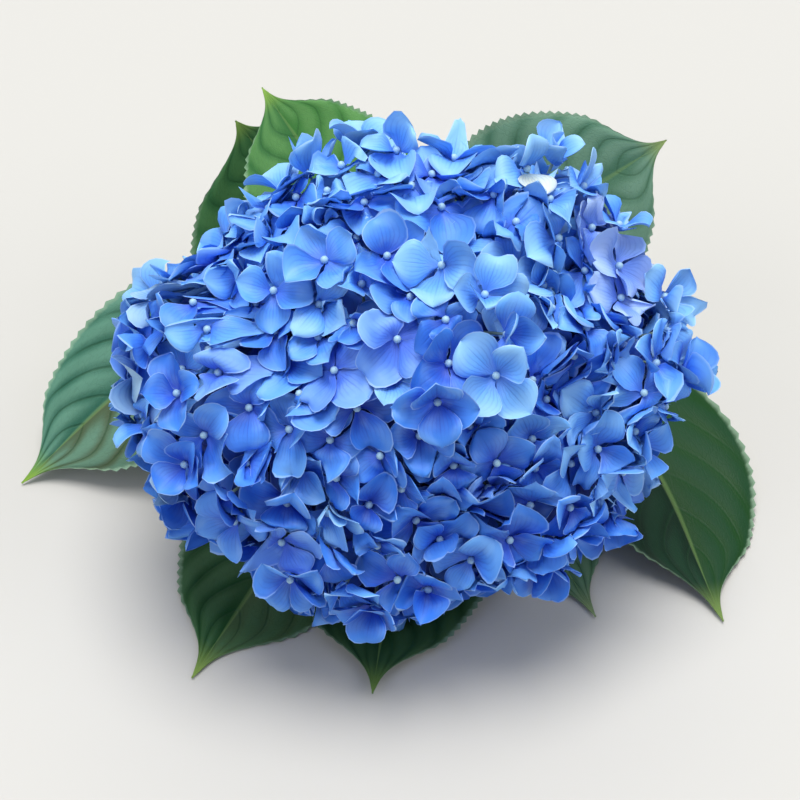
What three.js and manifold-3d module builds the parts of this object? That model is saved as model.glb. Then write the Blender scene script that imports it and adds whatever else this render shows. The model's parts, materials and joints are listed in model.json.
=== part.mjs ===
// A mophead hydrangea bloom, cut with a short leafy stem and laid down on its leaves.
// Millimetres and degrees, +Z up. The bloom faces forward (-Y) and up, and the stem runs back (+Y).

import * as THREE from 'three';
import { mergeVertices } from 'three/addons/utils/BufferGeometryUtils.js';
import Module from 'manifold-3d';

const wasm = await Module();
wasm.setup();

// Gap that touching pieces keep
const CLEARANCE = 0.35;

// The bloom: a flattened globe of florets round a point called the heart
const BLOOM_HALF_WIDTH = 96;
const BLOOM_HALF_HEIGHT = 84;
const BLOOM_FRONT = 68;
const BLOOM_BACK = 44;
const BLOOM_EDGE_ANGLE = 124;
const BLOOM_TILT = 38;
const HEART_HEIGHT = 80;

// The lobes: each is the florets of one branch. Azimuth turns round the bloom's axis from the
// right, polar leans away from that axis as seen from the hub, and reach scales the lobe.
const OUTER_POLAR = 52;
const LOBES = [
  { name: 'centre', azimuth: 0, polar: 0, reach: 1.0 },
  { name: 'right', azimuth: 8, polar: OUTER_POLAR, reach: 1.0 },
  { name: 'upper right', azimuth: 54, polar: OUTER_POLAR, reach: 1.05 },
  { name: 'top', azimuth: 100, polar: OUTER_POLAR, reach: 0.98 },
  { name: 'left', azimuth: 196, polar: OUTER_POLAR, reach: 1.0 },
  { name: 'lower left', azimuth: 248, polar: OUTER_POLAR, reach: 1.04 },
  { name: 'lower right', azimuth: 316, polar: OUTER_POLAR, reach: 0.95 },
];
const VALLEY_DEPTH = 0.08;
const VALLEY_WIDTH = 0.16;
const LOBE_SHARPNESS = 14;

// The florets: four broad sepals round a bead. They lie at five depths in turn, so that their
// sepals pass over and under each other.
const FLORET_COUNT = 106;
const FLORET_RADIUS = 16.2;
const FLORET_SEED = 20417;
const FLORET_DEPTHS = [0, 5, 10, 2.5, 7.5];
const FLORET_LEAN = 0.07;
const FLORET_FLOOR = 7.6;
const SEPAL_NOTCH_REACH = 0.46;
const SEPAL_SIDE_REACH = 0.9;
const SEPAL_SIDE_ANGLE = 28;
const SEPAL_SIDE_LIFT = 0.5;
const SEPAL_CUP = [-0.5, 2];
const BEAD_HEIGHT = 1.4;

// The flower stalks: the hub at the stem's tip bears a branch for each lobe, each branch forks
// into branchlets, and each floret has a stalk of its own. A share is of the way to the florets.
const HUB_DEPTH = 42;
const HUB_RADIUS = 4.6;
const BRANCH_RADII = [1.9, 1.2];
const BRANCH_SHARE = 0.52;
const BRANCHLET_SHARE = 0.74;
const BRANCHLETS = 5;
const BRANCHLET_SPREAD = 17;
const BRANCHLET_RADII = [0.95, 0.7];
const BRANCHLET_STAGGER = 0.06;
const PEDICEL_STAGGER = 0.13;
const PEDICEL_RADIUS = 0.6;
const PEDICEL_SUNK = 0.9;

// The stem: from the hub it bows down to a flat cut that lies on the floor
const STEM_END_TILT = 14;
const STEM_TOP_RADIUS = 3.3;
const STEM_CUT_RADIUS = 4.6;
const NODE_SWELLING = 1.1;
const NODE_LENGTH = 5;
const NODE_DISTANCES = [12, 31, 52, 74];

// The leaves: pairs on the stem's four nodes. Roll is where the leaf stalk leaves the stem, from
// the right over the top; the midrib passes the crest on its way to the tip, and the blade faces
// the way that facing gives.
const PETIOLE_LENGTH = 21;
const PETIOLE_RADIUS = 2;
const PETIOLE_SUNK = 9;
const PETIOLE_SUNK_RADIUS = 0.9;
const BLADE_THICKNESS = 1.6;
const MIDRIB_DEPTH = 1.2;
const BLADE_ACROSS = 4;
const BLADE_ALONG = 18;
const TOOTH_DEPTH = 0.035;
const LEAVES = [
  { name: 'left', node: 0, roll: 183, width: 74, fold: 0.1,
    crest: [-92, 52, 32], tip: [-144, 22, 0.9], facing: [-0.3, -0.5, 0.8] },
  { name: 'lower_right', node: 0, roll: 357, width: 78, fold: 0.08,
    crest: [80, 30, 15], tip: [107, -42, 0.9], facing: [0.25, -0.15, 0.95] },
  { name: 'upper_left', node: 1, roll: 100, width: 62, fold: 0.14,
    crest: [-26, 92, 76], tip: [-55, 119, 108], facing: [0.15, -0.8, 0.6] },
  { name: 'bottom_centre', node: 1, roll: 276, width: 76, fold: 0.02,
    crest: [-6, -8, 5.9], tip: [-14, -74, 3.2], facing: [0, 0, 1] },
  { name: 'upper_right', node: 2, roll: 20, width: 82, fold: 0.12,
    crest: [50, 94, 66], tip: [92, 105, 95], facing: [-0.1, -0.75, 0.65] },
  { name: 'bottom_left', node: 2, roll: 205, width: 80, fold: 0.02,
    crest: [-42, 4, 1.9], tip: [-75, -66, 0.9], facing: [0, 0, 1] },
  { name: 'back_left', node: 3, roll: 120, width: 78, fold: 0.12,
    crest: [-42, 118, 56], tip: [-66, 124, 89], facing: [0.1, -0.8, 0.6] },
  { name: 'bottom_right', node: 3, roll: 310, width: 62, fold: 0.02,
    crest: [38, 18, 1.9], tip: [63, -40, 0.9], facing: [0, 0, 1] },
];

const SEPAL_BLUE = new THREE.MeshStandardMaterial({ color: 0x4a7fd8, roughness: 0.75, metalness: 0 });
const STEM_GREEN = new THREE.MeshStandardMaterial({ color: 0x6d7f45, roughness: 0.75, metalness: 0 });
const LEAF_GREEN = new THREE.MeshStandardMaterial({ color: 0x2f5f3a, roughness: 0.6, metalness: 0 });

const radians = THREE.MathUtils.degToRad;
const vector = (x = 0, y = 0, z = 0) => new THREE.Vector3(x, y, z);

// The same row of numbers from 0 to 1 on every run
function numbersFrom(seed) {
  let state = seed;
  return () => {
    state = (state * 16807) % 2147483647;
    return state / 2147483647;
  };
}

function solidOf(geometry) {
  const bare = geometry.clone();
  bare.deleteAttribute('normal');
  bare.deleteAttribute('uv');
  const merged = mergeVertices(bare);
  return new wasm.Manifold(new wasm.Mesh({
    numProp: 3,
    vertProperties: new Float32Array(merged.getAttribute('position').array),
    triVerts: new Uint32Array(merged.getIndex().array),
  }));
}

function geometryOf(solid) {
  const mesh = solid.getMesh();
  const geometry = new THREE.BufferGeometry();
  geometry.setAttribute('position', new THREE.BufferAttribute(mesh.vertProperties, 3));
  geometry.setIndex(new THREE.BufferAttribute(mesh.triVerts, 1));
  geometry.computeVertexNormals();
  return geometry;
}

// Joins the pieces into one solid. A loose scrap and a hollow sealed inside are left out.
function fused(geometries) {
  const joined = wasm.Manifold.union(geometries.map(solidOf));
  return joined.decompose().reduce((most, piece) => (piece.volume() > most.volume() ? piece : most));
}

function pieceOf(name, solid, material) {
  const mesh = new THREE.Mesh(geometryOf(solid), material);
  mesh.name = name;
  return mesh;
}

function moveVertices(geometry, placed) {
  const position = geometry.getAttribute('position');
  for (let i = 0; i < position.count; i += 1) {
    const moved = placed(vector(position.getX(i), position.getY(i), position.getZ(i)));
    position.setXYZ(i, moved.x, moved.y, moved.z);
  }
  return geometry;
}

// A cylinder bent along a curve, with the radius that radiusAt gives from 0, its start, to 1
function limb(curve, steps, sides, radiusAt) {
  const frames = curve.computeFrenetFrames(steps, false);
  const cylinder = new THREE.CylinderGeometry(1, 1, 1, sides, steps);
  return moveVertices(cylinder, (vertex) => {
    const share = vertex.y + 0.5;
    const ring = Math.round(share * steps);
    const across = frames.normals[ring].clone().multiplyScalar(vertex.x * radiusAt(share));
    const upward = frames.binormals[ring].clone().multiplyScalar(-vertex.z * radiusAt(share));
    return curve.getPointAt(share).add(across).add(upward);
  });
}

function straightLimb(start, end, startRadius, endRadius, sides) {
  return limb(new THREE.LineCurve3(start, end), 1, sides,
    (share) => THREE.MathUtils.lerp(startRadius, endRadius, share));
}

// The bloom's own frame has its heart at 0, X to the right, Y up its face and Z along its axis.

const hub = vector(0, 0, -HUB_DEPTH);

function polarDirection(polar, azimuth) {
  return vector(
    Math.sin(polar) * Math.cos(azimuth),
    Math.sin(polar) * Math.sin(azimuth),
    Math.cos(polar),
  );
}

const lobes = LOBES.map((lobe) => ({
  ...lobe,
  direction: polarDirection(radians(lobe.polar), radians(lobe.azimuth)),
}));

// How far the bloom stands out at a point: lobes reach out, and valleys between them fall back
function lobing(point) {
  const heading = point.clone().sub(hub).normalize();
  const closeness = lobes.map((lobe) => heading.dot(lobe.direction));
  const weights = closeness.map((value) => Math.exp(LOBE_SHARPNESS * value));
  const total = weights.reduce((sum, weight) => sum + weight, 0);
  const reach = lobes.reduce((sum, lobe, i) => sum + lobe.reach * weights[i], 0) / total;
  const [nearest, second] = [...closeness].sort((a, b) => b - a);
  const valley = Math.max(0, 1 - (nearest - second) / VALLEY_WIDTH);
  return reach * (1 - VALLEY_DEPTH * valley * valley);
}

function bloomDepth(z) {
  return z > 0 ? BLOOM_FRONT : BLOOM_BACK;
}

function bloomSize(z) {
  return vector(BLOOM_HALF_WIDTH, BLOOM_HALF_HEIGHT, bloomDepth(z));
}

// The point of the bloom's surface that a point lies under or over
function ontoSurface(point) {
  const onGlobe = point.clone().divideScalar(point.clone().divide(bloomSize(point.z)).length());
  return onGlobe.multiplyScalar(lobing(onGlobe));
}

// Polar angles that share the globe's surface evenly among the florets
function evenPolarAngles(count) {
  const step = radians(0.25);
  const width = (BLOOM_HALF_WIDTH + BLOOM_HALF_HEIGHT) / 2;
  const bandArea = (polar) => Math.sin(polar)
    * Math.hypot(width * Math.cos(polar), bloomDepth(Math.cos(polar)) * Math.sin(polar));
  const last = radians(BLOOM_EDGE_ANGLE);
  let total = 0;
  for (let polar = 0; polar < last; polar += step) total += bandArea(polar);
  const angles = [];
  let covered = 0;
  for (let polar = 0; polar < last; polar += step) {
    covered += bandArea(polar);
    while (covered >= (total * (angles.length + 0.5)) / count) angles.push(polar);
  }
  return angles;
}

// Florets lie on a spiral of golden angles from the middle of the face to the edge. Each seat is
// a floret's centre, the way it faces, its turn, size and cupping.
function floretSeats() {
  const random = numbersFrom(FLORET_SEED);
  const goldenAngle = Math.PI * (3 - Math.sqrt(5));
  return evenPolarAngles(FLORET_COUNT).map((polar, i) => {
    const size = bloomSize(Math.cos(polar));
    const onSurface = ontoSurface(polarDirection(polar, i * goldenAngle).multiply(size));
    const facing = onSurface.clone().divide(size).divide(size).normalize();
    const centre = onSurface.addScaledVector(facing, -FLORET_DEPTHS[i % FLORET_DEPTHS.length]);
    const lean = vector(random() - 0.5, random() - 0.5, random() - 0.5).multiplyScalar(2 * FLORET_LEAN);
    facing.add(lean).normalize();
    return {
      centre,
      facing,
      turn: (random() * Math.PI) / 2,
      radius: FLORET_RADIUS * (0.92 + 0.16 * random()),
      cup: THREE.MathUtils.lerp(...SEPAL_CUP, random()),
    };
  });
}

// The rim of a floret's four sepals: each has a notch, a side, its tip and its other side
function floretRim(seat) {
  const side = radians(SEPAL_SIDE_ANGLE);
  const corners = [
    { angle: -Math.PI / 4, reach: SEPAL_NOTCH_REACH, lift: 0 },
    { angle: -side, reach: SEPAL_SIDE_REACH, lift: SEPAL_SIDE_LIFT },
    { angle: 0, reach: 1, lift: 0 },
    { angle: side, reach: SEPAL_SIDE_REACH, lift: -SEPAL_SIDE_LIFT },
  ];
  return [0, 1, 2, 3].flatMap((sepal) => corners.map(({ angle, reach, lift }) => {
    const around = seat.turn + (sepal * Math.PI) / 2 + angle;
    const out = reach * seat.radius;
    return vector(Math.cos(around) * out, Math.sin(around) * out, seat.cup * reach * reach + lift);
  }));
}

// A floret is the rim with a low cone up to its bead, and a flat underside to each sepal
function floretAt(seat) {
  const turned = new THREE.Quaternion().setFromUnitVectors(vector(0, 0, 1), seat.facing);
  const points = [...floretRim(seat), vector(0, 0, BEAD_HEIGHT)];
  points.forEach((point) => point.applyQuaternion(turned).add(seat.centre));
  const bead = points.length - 1;
  const faces = [0, 8, 4, 0, 12, 8];
  for (let i = 0; i < bead; i += 1) faces.push(i, (i + 1) % bead, bead);
  for (let notch = 0; notch < bead; notch += 4) {
    const nextNotch = (notch + 4) % bead;
    faces.push(notch, notch + 2, notch + 1, notch, nextNotch, notch + 2, notch + 2, nextNotch, notch + 3);
  }
  const geometry = new THREE.BufferGeometry().setFromPoints(points);
  geometry.setIndex(faces);
  return geometry;
}

// Lifts a floret until all of it is clear of what the bloom lies on
function liftOffFloor(seat) {
  const up = vector(0, Math.cos(radians(BLOOM_TILT)), Math.sin(radians(BLOOM_TILT)));
  const floor = new THREE.Plane(up, HEART_HEIGHT - FLORET_FLOOR);
  const position = floretAt(seat).getAttribute('position');
  let lowest = Infinity;
  for (let i = 0; i < position.count; i += 1) {
    lowest = Math.min(lowest, floor.distanceToPoint(vector().fromBufferAttribute(position, i)));
  }
  if (lowest < 0) seat.centre.addScaledVector(up, -lowest);
}

// How far the florets of a lobe are from the hub, along the lobe's own line
function lobeLength(lobe) {
  const front = BLOOM_FRONT + HUB_DEPTH;
  const rim = Math.hypot(BLOOM_HALF_WIDTH, HUB_DEPTH);
  return THREE.MathUtils.lerp(front, rim, Math.sin(radians(lobe.polar))) * lobe.reach;
}

// Where a branch's branchlets end: one on the lobe's line and the rest in a ring round it
function branchletTips(lobe) {
  const length = lobeLength(lobe) * BRANCHLET_SHARE;
  const leaned = polarDirection(radians(lobe.polar + BRANCHLET_SPREAD), radians(lobe.azimuth));
  const tips = [lobe.direction.clone()];
  for (let i = 0; i < BRANCHLETS; i += 1) {
    tips.push(leaned.clone().applyAxisAngle(lobe.direction, (i * 2 * Math.PI) / BRANCHLETS));
  }
  return tips.map((direction) => hub.clone().addScaledVector(direction, length));
}

// The bloom is one solid: hub, branches, branchlets, floret stalks and florets. Branchlets leave
// their branch one below the other, and so do the floret stalks on a branchlet.
function bloomSolid() {
  const ball = new THREE.SphereGeometry(HUB_RADIUS, 10, 6).rotateX(Math.PI / 2);
  const pieces = [ball.translate(hub.x, hub.y, hub.z)];
  const branchlets = lobes.flatMap((lobe) => {
    const fork = hub.clone().addScaledVector(lobe.direction, lobeLength(lobe) * BRANCH_SHARE);
    pieces.push(straightLimb(hub, fork, ...BRANCH_RADII, 5));
    return branchletTips(lobe).map((tip, i) => {
      const foot = fork.clone().lerp(hub, BRANCHLET_STAGGER * i);
      pieces.push(straightLimb(foot, tip, ...BRANCHLET_RADII, 3));
      return { foot, tip, florets: 0 };
    });
  });
  floretSeats().forEach((seat) => {
    liftOffFloor(seat);
    const branchlet = branchlets.reduce((best, other) => (
      other.tip.distanceTo(seat.centre) < best.tip.distanceTo(seat.centre) ? other : best));
    const stalkFoot = branchlet.tip.clone().lerp(branchlet.foot, PEDICEL_STAGGER * branchlet.florets);
    const stalkEnd = seat.centre.clone().addScaledVector(seat.facing, PEDICEL_SUNK);
    branchlet.florets += 1;
    pieces.push(straightLimb(stalkFoot, stalkEnd, PEDICEL_RADIUS, PEDICEL_RADIUS, 3));
    pieces.push(floretAt(seat));
  });
  return fused(pieces);
}

// The stem, whose slope eases from the bloom's tilt to that of the cut end

const hubHeight = HEART_HEIGHT - HUB_DEPTH * Math.sin(radians(BLOOM_TILT));
const hubPlace = vector(0, HUB_DEPTH * Math.cos(radians(BLOOM_TILT)), hubHeight);
const slopeChange = radians(BLOOM_TILT - STEM_END_TILT);
const slopeDrop = Math.cos(radians(STEM_END_TILT)) - Math.cos(radians(BLOOM_TILT));
const stemFall = hubHeight - STEM_CUT_RADIUS * Math.cos(radians(STEM_END_TILT));
const stemLength = (stemFall * slopeChange) / slopeDrop;

function stemSlope(distance) {
  const share = THREE.MathUtils.clamp(distance / stemLength, 0, 1);
  return radians(THREE.MathUtils.lerp(BLOOM_TILT, STEM_END_TILT, share));
}

function stemDirection(distance) {
  return vector(0, Math.cos(stemSlope(distance)), -Math.sin(stemSlope(distance)));
}

function stemPoint(distance) {
  const step = 0.5;
  const place = hubPlace.clone();
  const strides = Math.round(distance / step);
  for (let i = 0; i < strides; i += 1) place.addScaledVector(stemDirection((i + 0.5) * step), step);
  return place;
}

function stemRadius(distance) {
  const plain = THREE.MathUtils.lerp(STEM_TOP_RADIUS, STEM_CUT_RADIUS, distance / stemLength);
  return NODE_DISTANCES.reduce((sum, node) => (
    sum + NODE_SWELLING * Math.exp(-(((distance - node) / NODE_LENGTH) ** 2))), plain);
}

// The stem's flat top meets the hub
function stem() {
  const top = HUB_RADIUS + CLEARANCE;
  const steps = 34;
  const points = [];
  for (let i = 0; i <= steps; i += 1) points.push(stemPoint(top + ((stemLength - top) * i) / steps));
  const curve = new THREE.CatmullRomCurve3(points);
  return solidOf(limb(curve, steps, 10, (share) => stemRadius(top + (stemLength - top) * share)));
}

// The leaves

function midribOf(leaf) {
  const distance = NODE_DISTANCES[leaf.node];
  const along = stemDirection(distance);
  const overTop = vector(1, 0, 0).cross(along);
  if (overTop.z < 0) overTop.negate();
  const roll = radians(leaf.roll);
  const outward = vector(1, 0, 0).multiplyScalar(Math.cos(roll)).addScaledVector(overTop, Math.sin(roll));
  const start = stemPoint(distance).addScaledVector(outward, stemRadius(distance) + CLEARANCE);
  const knee = start.clone().addScaledVector(outward, PETIOLE_LENGTH * 0.45);
  return new THREE.CatmullRomCurve3(
    [start, knee, vector(...leaf.crest), vector(...leaf.tip)], false, 'centripetal');
}

// Half the blade's width from its base, 0, to its tip, 1: broad, with a short drawn-out point
function bladeHalfWidth(leaf, share) {
  const oval = Math.sin(Math.PI * share ** 0.82) ** 0.9;
  const point = 1 - 0.7 * THREE.MathUtils.smoothstep(share, 0.78, 0.97);
  return Math.max(0.5, (leaf.width / 2) * oval * point);
}

// The blade is a flat box bent to the leaf. The floor presses up what would sag below it.
function bladeOf(leaf, midrib) {
  const baseShare = PETIOLE_LENGTH / midrib.getLength();
  const box = new THREE.BoxGeometry(2, 1, 1, BLADE_ACROSS, BLADE_ALONG, 1);
  return moveVertices(box, (vertex) => {
    const share = vertex.y + 0.5;
    const along = baseShare + (1 - baseShare) * share;
    const tangent = midrib.getTangentAt(along);
    const across = tangent.clone().cross(vector(...leaf.facing)).normalize();
    const outward = across.clone().cross(tangent);
    const tooth = Math.round(share * BLADE_ALONG) % 2 ? -TOOTH_DEPTH : TOOTH_DEPTH;
    const onEdge = Math.abs(vertex.x) > 0.99;
    const halfWidth = bladeHalfWidth(leaf, share) * (onEdge ? 1 + tooth : 1);
    const underMidrib = Math.abs(vertex.x) < 0.01 && vertex.z < 0;
    const ridge = MIDRIB_DEPTH * (1 - share);
    const place = midrib.getPointAt(along).addScaledVector(across, vertex.x * halfWidth)
      .addScaledVector(outward, leaf.fold * Math.abs(vertex.x) * halfWidth);
    place.z = Math.max(place.z, BLADE_THICKNESS / 2 + (Math.abs(vertex.x) < 0.01 ? ridge : 0));
    return place.addScaledVector(outward, vertex.z * BLADE_THICKNESS - (underMidrib ? ridge : 0));
  });
}

function leafSolid(leaf) {
  const midrib = midribOf(leaf);
  const stalkShare = (PETIOLE_LENGTH + PETIOLE_SUNK) / midrib.getLength();
  const steps = 6;
  const points = [];
  for (let i = 0; i <= steps; i += 1) points.push(midrib.getPointAt((stalkShare * i) / steps));
  const stalk = limb(new THREE.CatmullRomCurve3(points), steps, 5,
    (share) => THREE.MathUtils.lerp(PETIOLE_RADIUS, PETIOLE_SUNK_RADIUS, share ** 2));
  return fused([stalk, bladeOf(leaf, midrib)]);
}

// The whole piece

const plant = new THREE.Group();
plant.add(pieceOf('stem', stem(), STEM_GREEN));
LEAVES.forEach((leaf) => plant.add(pieceOf(`leaf_${leaf.name}`, leafSolid(leaf), LEAF_GREEN)));

const bloom = pieceOf('bloom', bloomSolid(), SEPAL_BLUE);
bloom.position.z = HEART_HEIGHT;
bloom.rotation.x = radians(90 - BLOOM_TILT);
plant.add(bloom);

// The origin is under the middle of the whole piece, on the floor
plant.updateMatrixWorld(true);
const bounds = new THREE.Box3().setFromObject(plant, true);
plant.position.set(-(bounds.min.x + bounds.max.x) / 2, -(bounds.min.y + bounds.max.y) / 2, -bounds.min.z);

export default plant;
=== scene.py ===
"""A mophead hydrangea bloom on its short leafy stem, cut and laid down on its own leaves.

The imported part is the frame. The bloom with its stalks, the leaves and the stem are grown again
here by the rules that shaped the part, with more and finer florets, veined leaves and a ribbed stem.
Lengths are in millimetres until a mesh is made.
"""

import json
import math

import bpy
import numpy as np
from mathutils import Matrix, Vector


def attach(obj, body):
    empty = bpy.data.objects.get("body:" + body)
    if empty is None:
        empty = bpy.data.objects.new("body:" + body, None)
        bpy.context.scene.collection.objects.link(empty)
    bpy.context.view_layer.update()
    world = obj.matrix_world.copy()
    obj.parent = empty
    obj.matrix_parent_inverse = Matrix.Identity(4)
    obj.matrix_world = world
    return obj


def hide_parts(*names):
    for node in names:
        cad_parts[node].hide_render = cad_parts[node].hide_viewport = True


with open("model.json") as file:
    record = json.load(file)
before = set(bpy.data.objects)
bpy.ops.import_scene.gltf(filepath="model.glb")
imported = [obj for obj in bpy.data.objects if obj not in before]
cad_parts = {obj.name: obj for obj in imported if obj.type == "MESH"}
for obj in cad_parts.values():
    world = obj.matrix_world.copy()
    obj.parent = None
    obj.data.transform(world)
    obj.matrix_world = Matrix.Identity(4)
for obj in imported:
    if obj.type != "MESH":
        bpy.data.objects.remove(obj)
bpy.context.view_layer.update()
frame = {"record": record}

MM = 0.001
OWN_MAP = "OFBake"

# The bloom's globe and lobes, close to those of the part, and a dent between two of the lobes
BLOOM_HALF_WIDTH = 96
BLOOM_HALF_HEIGHT = 84
BLOOM_FRONT = 68
BLOOM_BACK = 44
BLOOM_EDGE_ANGLE = 124
BLOOM_TILT = 38
HEART_HEIGHT = 80
OUTER_POLAR = 52
LOBES = [
    {"azimuth": 0, "polar": 0, "reach": 1.0},
    {"azimuth": 8, "polar": OUTER_POLAR, "reach": 0.98},
    {"azimuth": 54, "polar": OUTER_POLAR, "reach": 1.05},
    {"azimuth": 100, "polar": OUTER_POLAR, "reach": 0.98},
    {"azimuth": 196, "polar": OUTER_POLAR, "reach": 1.05},
    {"azimuth": 248, "polar": OUTER_POLAR, "reach": 1.04},
    {"azimuth": 316, "polar": OUTER_POLAR, "reach": 0.95},
]
VALLEY_DEPTH = 0.1
VALLEY_WIDTH = 0.17
LOBE_SHARPNESS = 14
DENT = {"azimuth": 141, "polar": 88, "depth": 0.08, "width": 0.34}
POLAR_STEP = 0.25

# A seed for each thing that chance decides
SEAT_SEED = 20417
SEPAL_SEED = 20418
SHADE_SEED = 20419
UNDER_SEAT_SEED = 20420

# The florets: more of them than in the part, each a little smaller, with more in a layer below
FLORET_COUNT = 252
FLORET_DEPTHS = [4, 7, 10, 5.5, 8.5, 12, 6, 9.5]
UNDER_FLORETS = 270
UNDER_DEPTHS = [14, 20]
FLORET_SIZES = (0.9, 1.07)
FLORET_LEAN = 0.34
FLORET_FLOOR = 1.5
BEAD_RADIUS = 1.3
BEAD_LIFT = 0.55
BEAD_SEGMENTS = 8
BEAD_RINGS = 6

# How far florets turn towards the bloom's axis everywhere, how much further at its top, and how
# much deeper they sit for that
TURN_TO_LIGHT = (0.28, 0.34)
TURN_DEPTH = 6

# A sepal's size and grid, how far it may stand out of the bloom's globe and how near the floor it
# may come. The outer pair of a floret is a little longer than the inner one
SEPAL_LENGTH = 13.9
SEPAL_BREADTH = 1.05
SEPAL_MARGIN = 8.5
SEPAL_FLOOR = 0.3
SEPAL_ROWS = 10
SEPAL_COLUMNS = 6
PAIR_LENGTHS = {"outer": 1.03, "inner": 0.96}

# The least and most that chance gives: openness to a whole floret, and the rest to each sepal.
# Openness, standing, curl and flick are in degrees and the wave is in millimetres. The others are
# shares of the sepal's size or strengths of a curve
VARIETY = {
    "openness": (18, 56),
    "under_openness": (8, 26),
    "length": (0.92, 1.07),
    "breadth": (0.84, 1.1),
    "standing": (15, 40),
    "curl": (-55, 20),
    "flick": (-75, 35),
    "cup": (0.15, 0.95),
    "fold": (-0.05, 0.3),
    "rim_curl": (-0.8, 0.5),
    "wave": (0.3, 1.3),
    "roundness": (0.5, 0.85),
    "claw": (0, 0.6),
    "point": (0, 0.04),
}
STANDING_CHANCE = 0.25

# How many degrees sepals stray in tilt, twist and place, and how much more the inner pair rises
TILT_SPREAD = 5
TWIST_SPREAD = 14
PLACE_SPREAD = 6
INNER_TILT = 7

# A sepal's outline and curves: where it is widest, how far its narrow claw and its root reach,
# where its tip flicks and its rims curl, how it waves, and how it overlaps the next one
WIDTH_POWER = 1.32
CLAW_REACH = 0.45
ROOT_WIDTH = 0.09
ROOT_RADIUS = 0.9
ROOT_SINK = 0.4
FLICK_FROM = 0.5
RIM_CURL_FROM = 0.55
RIM_CURL_GAIN = 4
WAVES = 1.5
OVERLAP_LIFT = 0.45

# How sepals lie under others: the gap between them, how far beyond a sepal's rim its cover holds,
# how steeply what lies under it may rise from there, how far off it is looked for, the scale of a
# globe pressed to radius 1, and how far a bent point takes those beside it along
COVER_GAP = 0.65
COVER_SPREAD = 1.0
COVER_SLOPE = 3
COVER_RANGE = 34
PRESSED_SCALE = 80
FOLLOWING_SHARE = 0.6

# The flower stalks. A grid is the number of sides and of steps along
HUB_DEPTH = 42
HUB_RADIUS = 4.6
STEM_IN_HUB = 0.6
HUB_SEGMENTS = 20
HUB_RINGS = 12
BRANCH_RADII = (1.9, 1.2)
BRANCH_BOW = 2.0
BRANCH_SHARE = 0.52
BRANCH_GRID = (10, 8)
BRANCHLET_SHARE = 0.74
BRANCHLETS = 5
BRANCHLET_SPREAD = 17
BRANCHLET_RADII = (0.95, 0.7)
BRANCHLET_STAGGER = 0.06
BRANCHLET_GRID = (7, 5)
PEDICEL_STAGGER = 0.09
PEDICEL_RADII = (0.55, 0.5)
PEDICEL_BOW = 0.12
PEDICEL_GAP = 0.2
PEDICEL_GRID = (6, 6)

# The stem
STEM_END_TILT = 14
STEM_TOP_RADIUS = 3.3
STEM_CUT_RADIUS = 4.6
NODE_SWELLING = 1.1
NODE_LENGTH = 5
NODE_DISTANCES = [12, 31, 52, 74]
STEM_SIDES = 40
STEM_RINGS = 150
STEM_STEP = 0.5
STEM_MAP_HALF = 0.48
HALF_RING = 0.5

# The stem's ridges and the fine ribs drawn on them, the scars below its nodes, and the insets of its
# cut face, which leave wood round the pith
RIDGES = ({"count": 9, "height": 0.1, "wind": 0}, {"count": 4, "height": 0.05, "wind": 0.05})
FINE_RIBS = 18
SCAR_OFFSET = 2.2
SCAR_LENGTH = 0.7
SCAR_DEPTH = 0.28
CUT_INSETS = (0.09, 0.42)
CUT_EDGE = 0.1
RIND_REACH = 0.95
WOOD_REACH = 0.6

# Leaf stalks, which start inside the stem and run on under the blade
PETIOLE_LENGTH = 21
PETIOLE_RADII = (2, 0.9)
PETIOLE_OVERLAP = 8
PETIOLE_ROOT = 0.7
PETIOLE_KNEE = 0.5
PETIOLE_GRID = (12, 14)

# A blade's outline is an oval, widest a little nearer its base, and narrowed over a span of its
# length to a drawn-out tip. Its teeth fade at both ends
OVAL_LEAN = 0.82
OVAL_FULLNESS = 0.9
TIP_NARROWING = 0.7
TIP_SPAN = (0.78, 0.97)
LEAST_HALF_WIDTH = 0.25
TEETH_FADE = (0.1, 0.6)
LEAF_TEETH = 40
ROWS_PER_TOOTH = 3
LEAF_COLUMNS = 32
LEAF_ROWS = ROWS_PER_TOOTH * LEAF_TEETH
TOOTH_LENGTH = 1.3
BLADE_THICKNESS = 0.7
BLADE_FLOOR = 0.8

# A blade's quilting between its veins, with where it rises from the midrib and fades to the rim, the
# groove over its midrib, and its waved and lowered rim
QUILT_HEIGHT = 1.1
QUILT_RISE = (0, 0.25)
QUILT_FADE = (0.8, 1)
GROOVE_DEPTH = 0.9
GROOVE_WIDTH = 0.05
WAVE_HEIGHT = 1.5
WAVE_TURNING = 15
RIM_DROP = 0.9
RIM_WIDTH = 0.12

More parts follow.
